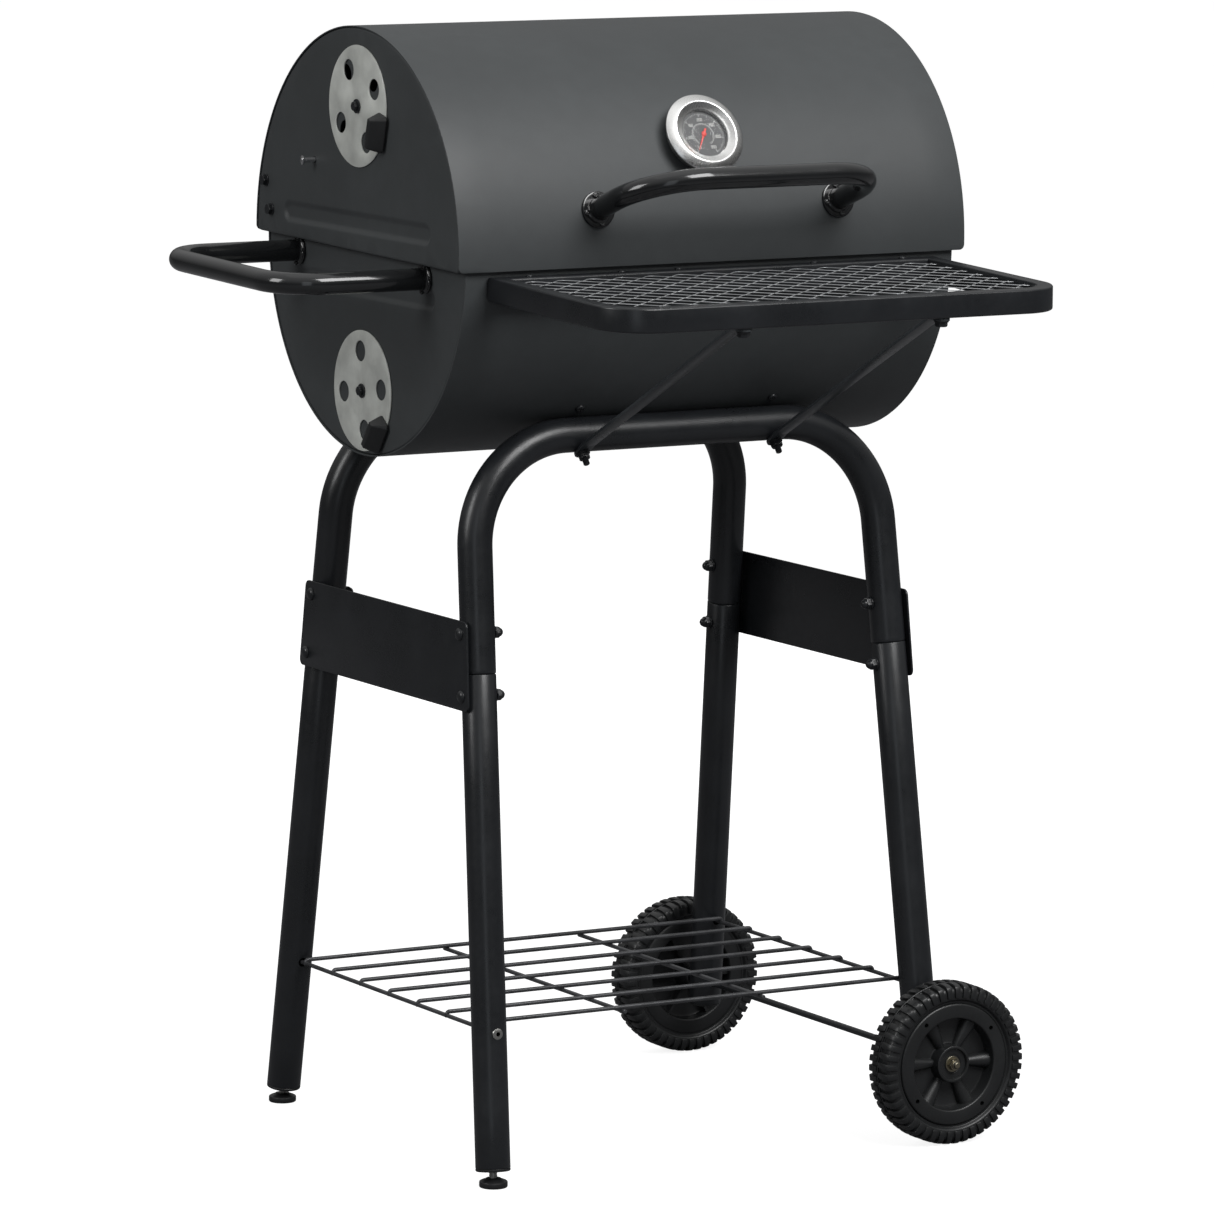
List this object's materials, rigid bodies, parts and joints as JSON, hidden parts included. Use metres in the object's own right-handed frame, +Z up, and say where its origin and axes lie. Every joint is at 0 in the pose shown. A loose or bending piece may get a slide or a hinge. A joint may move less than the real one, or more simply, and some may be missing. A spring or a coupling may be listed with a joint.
{
  "type": "barrel charcoal grill",
  "caption": "Barrel charcoal grill on a splayed tube stand with hinged lid, air dampers, front shelf, wire rack, wheels and levelling feet.",
  "frame": {"origin": "middle of the whole object's footprint box, on the floor", "axes": "+X along the barrel from the push handle end to the wheel end, -Y towards the user and the shelf, +Z up"},
  "size_m": [0.712, 0.6902, 1.0375],
  "materials": {
    "drum_paint": "matte heat-resistant paint",
    "black_powder_coat": "satin powder coat",
    "gloss_black": "gloss enamel",
    "galvanised": "satin galvanised",
    "stainless": "brushed stainless",
    "zinc_steel": "zinc plated",
    "chromed_wire": "bright chrome plate",
    "black_plastic": "matte moulded",
    "black_wire": "satin coat",
    "dial_face": "matte print",
    "needle_red": "painted",
    "glass_lens": "clear",
    "enamelled_wire": "porcelain enamel"
  },
  "bodies": {
    "stand": {"body_shell": "drum_paint", "body_end_left": "drum_paint", "body_end_right": "drum_paint", "charcoal_grate": "enamelled_wire", "cooking_grate": "enamelled_wire", "vent_bolt_lower": "black_powder_coat", "hinge_left_body": "black_powder_coat", "hinge_right_body": "black_powder_coat", "side_handle": "gloss_black", "shelf_frame": "black_powder_coat", "shelf_mesh": "black_wire", "shelf_brace_left": "black_powder_coat", "shelf_brace_right": "black_powder_coat", "brace_bolt_left": "black_powder_coat", "brace_bolt_right": "black_powder_coat", "frame_front": "black_powder_coat", "frame_rear": "black_powder_coat", "leg_front_left": "black_powder_coat", "leg_rear_left": "black_powder_coat", "leg_front_right": "black_powder_coat", "leg_rear_right": "black_powder_coat", "saddle_bolt_1": "black_powder_coat", "saddle_bolt_2": "black_powder_coat", "saddle_bolt_3": "black_powder_coat", "saddle_bolt_4": "black_powder_coat", "side_plate_left": "black_powder_coat", "side_plate_right": "black_powder_coat", "bottom_rack": "black_wire", "leg_plug_front": "black_plastic", "leg_plug_rear": "black_plastic", "axle": "black_powder_coat", "axle_nut_front": "zinc_steel", "axle_nut_rear": "zinc_steel"},
    "lid": {"lid_shell": "drum_paint", "lid_end_left": "drum_paint", "lid_end_right": "drum_paint", "lid_handle": "gloss_black", "hinge_left_lid": "black_powder_coat", "hinge_right_lid": "black_powder_coat", "thermometer_case": "stainless", "thermometer_dial": "dial_face", "thermometer_glass": "glass_lens", "thermometer_stem": "stainless", "vent_bolt_upper": "black_powder_coat"},
    "damper_upper": {"vent_disc_upper": "galvanised", "vent_knob_upper": "black_plastic"},
    "damper_lower": {"vent_disc_lower": "galvanised", "vent_knob_lower": "black_plastic"},
    "needle": {"thermometer_needle": "needle_red"},
    "rack": {"warming_rack": "chromed_wire"},
    "crank": {"rack_crank": "chromed_wire"},
    "wheel_front": {"wheel_tyre_front": "black_plastic", "wheel_rim_front": "black_plastic"},
    "wheel_rear": {"wheel_tyre_rear": "black_plastic", "wheel_rim_rear": "black_plastic"},
    "foot_front": {"foot_front": "black_plastic"},
    "foot_rear": {"foot_rear": "black_plastic"}
  },
  "joints": [
    {"name": "lid_hinge", "type": "hinge", "parent": "stand", "child": "lid", "pos_m": [0.04995, 0.28895, 0.826], "axis": [-1, 0, 0], "range_deg": [0, 100]},
    {"name": "rack_pivot", "type": "hinge", "parent": "lid", "child": "rack", "pos_m": [0.04995, 0.16395, 0.91], "axis": [-1, 0, 0], "range_deg": [-100, 0]},
    {"name": "crank_pivot", "type": "hinge", "parent": "stand", "child": "crank", "pos_m": [0.04995, 0.13095, 0.826], "axis": [-1, 0, 0], "range_deg": [0, 100]},
    {"name": "damper_upper_turn", "type": "hinge", "parent": "lid", "child": "damper_upper", "pos_m": [-0.21605, 0.07745, 0.965], "axis": [-1, 0, 0], "range_deg": [-31, 14]},
    {"name": "damper_lower_turn", "type": "hinge", "parent": "stand", "child": "damper_lower", "pos_m": [-0.20605, 0.08595, 0.704], "axis": [1, 0, 0], "range_deg": [0, 45]},
    {"name": "needle_turn", "type": "hinge", "parent": "lid", "child": "needle", "pos_m": [0.04475, -0.09164, 0.93949], "axis": [0, 0.8678, -0.497], "range_deg": [0, 300]},
    {"name": "wheel_front_spin", "type": "hinge", "parent": "stand", "child": "wheel_front", "pos_m": [0.28002, -0.15775, 0.076], "axis": [0, 1, 0], "continuous": true},
    {"name": "wheel_rear_spin", "type": "hinge", "parent": "stand", "child": "wheel_rear", "pos_m": [0.28002, 0.32365, 0.076], "axis": [0, 1, 0], "continuous": true},
    {"name": "foot_front_screw", "type": "slide", "parent": "stand", "child": "foot_front", "axis": [0.0317, 0.1269, 0.9914], "range_m": [-0.011, 0.004]},
    {"name": "foot_rear_screw", "type": "slide", "parent": "stand", "child": "foot_rear", "axis": [0.0317, -0.1269, 0.9914], "range_m": [-0.011, 0.004]}
  ],
  "couplings": [
    {"joint": "rack_pivot", "follows": "lid_hinge", "ratio": -1},
    {"joint": "crank_pivot", "follows": "lid_hinge", "ratio": 1}
  ]
}
